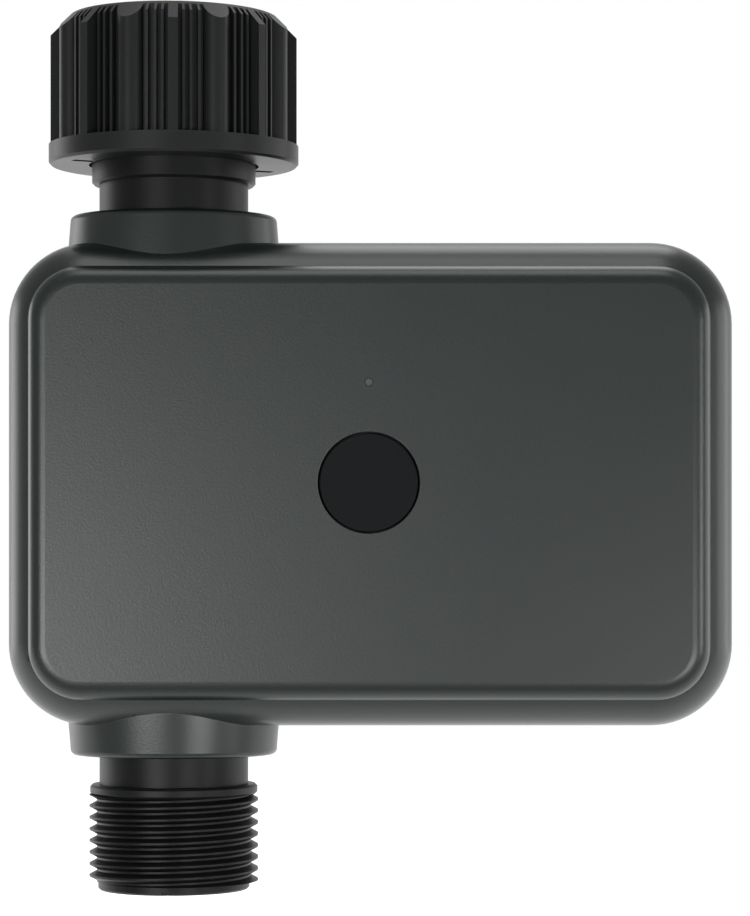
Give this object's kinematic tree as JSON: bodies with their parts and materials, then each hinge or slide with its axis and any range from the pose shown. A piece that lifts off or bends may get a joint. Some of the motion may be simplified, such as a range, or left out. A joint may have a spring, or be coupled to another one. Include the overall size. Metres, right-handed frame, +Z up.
{
  "type": "smart water valve",
  "caption": "Battery powered smart tap valve: a flat dark housing with a centre button, beside a vertical pipe with a ribbed inlet nut on top and a male hose thread below.",
  "frame": {"origin": "on the pipe axis, in the plane of the inlet nut's mouth", "axes": "+Z up along the pipe, out of the inlet mouth; the front face with the button faces -Y; the housing reaches out from the pipe towards +X"},
  "size_m": [0.1116, 0.0411, 0.1367],
  "materials": {
    "shell": "fine spark-eroded grain",
    "black_plastic": "smooth moulded",
    "button_plastic": "satin",
    "seal_rubber": "matte",
    "clear_plastic": "clear",
    "steel": "zinc plated",
    "board": "solder mask",
    "chip": "matte",
    "can": "tin plated",
    "white_plastic": "moulded",
    "cell_wrap": "foil",
    "spring_steel": "nickel plated",
    "lead_plastic": "insulation",
    "brass": "turned",
    "seat_plastic": "low friction",
    "ball_plastic": "polished",
    "gear_plastic": "acetal",
    "filter_plastic": "moulded",
    "washer_rubber": "matte"
  },
  "bodies": {
    "housing": {"front_shell": "shell", "rear_shell": "shell", "shell_gasket": "seal_rubber", "neck_seals": "seal_rubber", "shell_screws": "steel", "button_o_ring": "seal_rubber", "light_pipe": "clear_plastic", "main_pcb": "board", "switch_body": "chip", "status_led": "white_plastic", "radio_module": "can", "controller_chip": "chip", "connectors": "white_plastic", "pcb_screws": "steel", "battery_holder": "black_plastic", "aa_cells": "cell_wrap", "battery_contacts": "spring_steel", "battery_springs": "spring_steel", "battery_leads": "lead_plastic", "motor_leads": "lead_plastic", "inlet_washer": "washer_rubber", "inlet_filter": "filter_plastic", "inlet_sleeve": "black_plastic", "inlet_pipe": "black_plastic", "outlet_pipe": "black_plastic", "pipe_o_rings": "seal_rubber", "valve_body": "black_plastic", "upper_seat": "seat_plastic", "lower_seat": "seat_plastic", "stem_washer": "seat_plastic", "gearbox_case": "gear_plastic", "gearbox_cover": "gear_plastic", "gearbox_screws": "steel", "actuator_screws": "steel", "gear_axles": "steel", "motor": "can"},
    "inlet_nut": {"inlet_nut": "black_plastic"},
    "button": {"button": "button_plastic"},
    "switch_plunger": {"switch_plunger": "chip"},
    "valve_ball": {"valve_ball": "ball_plastic", "valve_stem": "brass", "stem_o_rings": "seal_rubber", "output_gear": "gear_plastic"},
    "idler_gear_2": {"idler_gear_2": "gear_plastic"},
    "idler_gear_1": {"idler_gear_1": "gear_plastic"},
    "motor_pinion": {"motor_pinion": "brass", "motor_shaft": "steel"},
    "battery_door": {"battery_door": "shell", "battery_door_gasket": "seal_rubber", "battery_door_screws": "steel"}
  },
  "joints": [
    {"name": "nut_spin", "type": "hinge", "parent": "housing", "child": "inlet_nut", "pos_m": [0, 0, -0.02], "axis": [0, 0, 1], "continuous": true},
    {"name": "button_press", "type": "slide", "parent": "housing", "child": "button", "axis": [0, 1, 0], "range_m": [0, 0.0005], "stiffness_N_per_m": 2500},
    {"name": "plunger_press", "type": "slide", "parent": "housing", "child": "switch_plunger", "axis": [0, 1, 0], "range_m": [0, 0.0005]},
    {"name": "valve_turn", "type": "hinge", "parent": "housing", "child": "valve_ball", "pos_m": [0, 0, -0.0734], "axis": [1, 0, 0], "range_deg": [0, 90]},
    {"name": "idler_2_turn", "type": "hinge", "parent": "housing", "child": "idler_gear_2", "pos_m": [0, 0.00761, -0.06261], "axis": [1, 0, 0], "range_deg": [-240, 0]},
    {"name": "idler_1_turn", "type": "hinge", "parent": "housing", "child": "idler_gear_1", "pos_m": [0, -0.00069, -0.05313], "axis": [1, 0, 0], "range_deg": [0, 600]},
    {"name": "pinion_turn", "type": "hinge", "parent": "housing", "child": "motor_pinion", "pos_m": [0, 0.01113, -0.05522], "axis": [1, 0, 0], "range_deg": [-1800, 0]},
    {"name": "battery_door_off", "type": "slide", "parent": "housing", "child": "battery_door", "axis": [0, 1, 0], "range_m": [0, 0.03]}
  ],
  "couplings": [
    {"joint": "plunger_press", "follows": "button_press", "ratio": 1},
    {"joint": "idler_2_turn", "follows": "valve_turn", "ratio": -2.6667},
    {"joint": "idler_1_turn", "follows": "valve_turn", "ratio": 6.6667},
    {"joint": "pinion_turn", "follows": "valve_turn", "ratio": -20}
  ]
}
